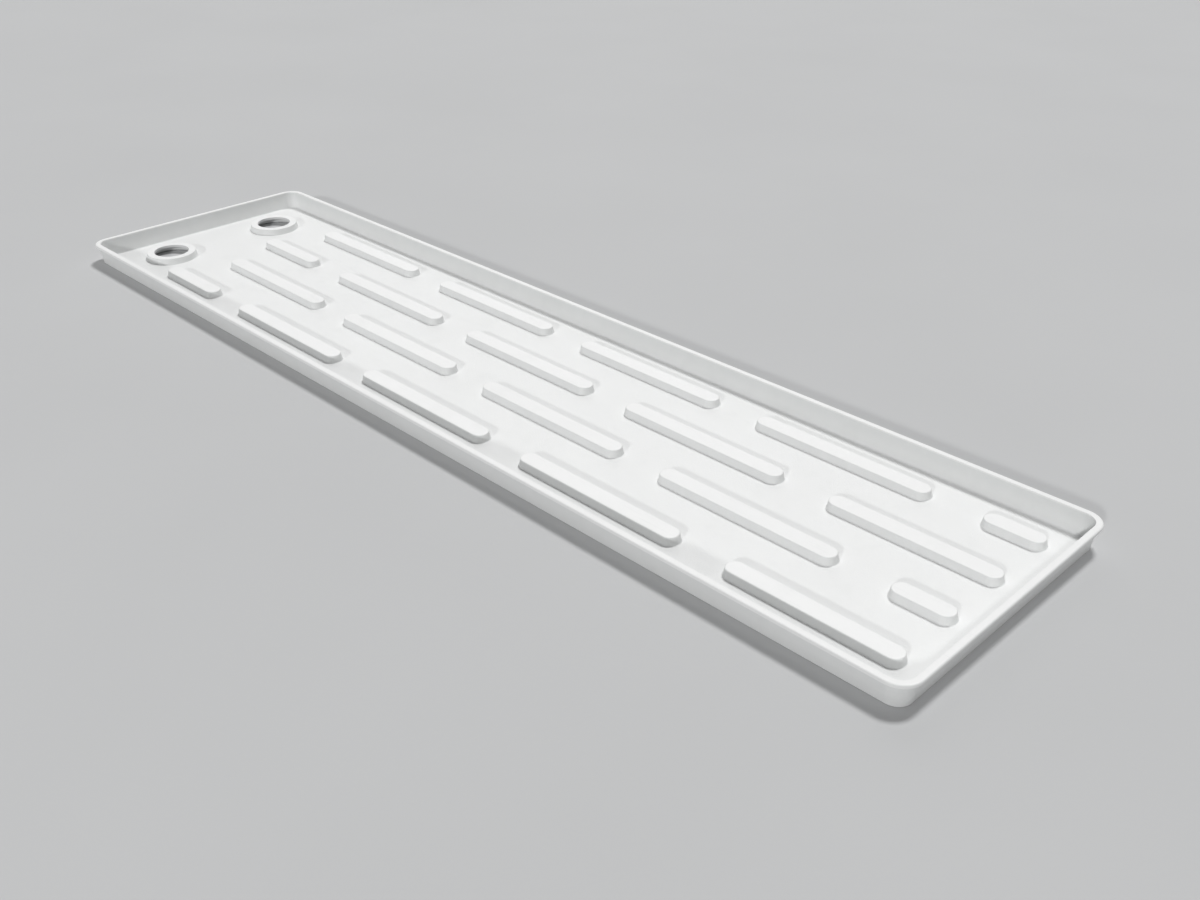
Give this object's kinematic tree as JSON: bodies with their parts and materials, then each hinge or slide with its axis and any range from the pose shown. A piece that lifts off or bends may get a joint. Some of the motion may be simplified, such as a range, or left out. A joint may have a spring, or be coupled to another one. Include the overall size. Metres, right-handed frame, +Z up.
{
  "type": "hydroponic flood tray",
  "caption": "Shallow one-piece moulded flood tray with drafted walls, a turned-out rim, raised floor ribs in staggered rows, and raised bosses with fill and drain holes.",
  "frame": {"origin": "middle of the flat underside, where it rests on the floor", "axes": "+X along the tray, away from the end with the two holes; +Y across it; +Z up"},
  "size_m": [1.22, 0.305, 0.025],
  "materials": {
    "tray_plastic": "satin white moulded sheet"
  },
  "bodies": {
    "root": {"flood_tray": "tray_plastic"}
  },
  "joints": []
}
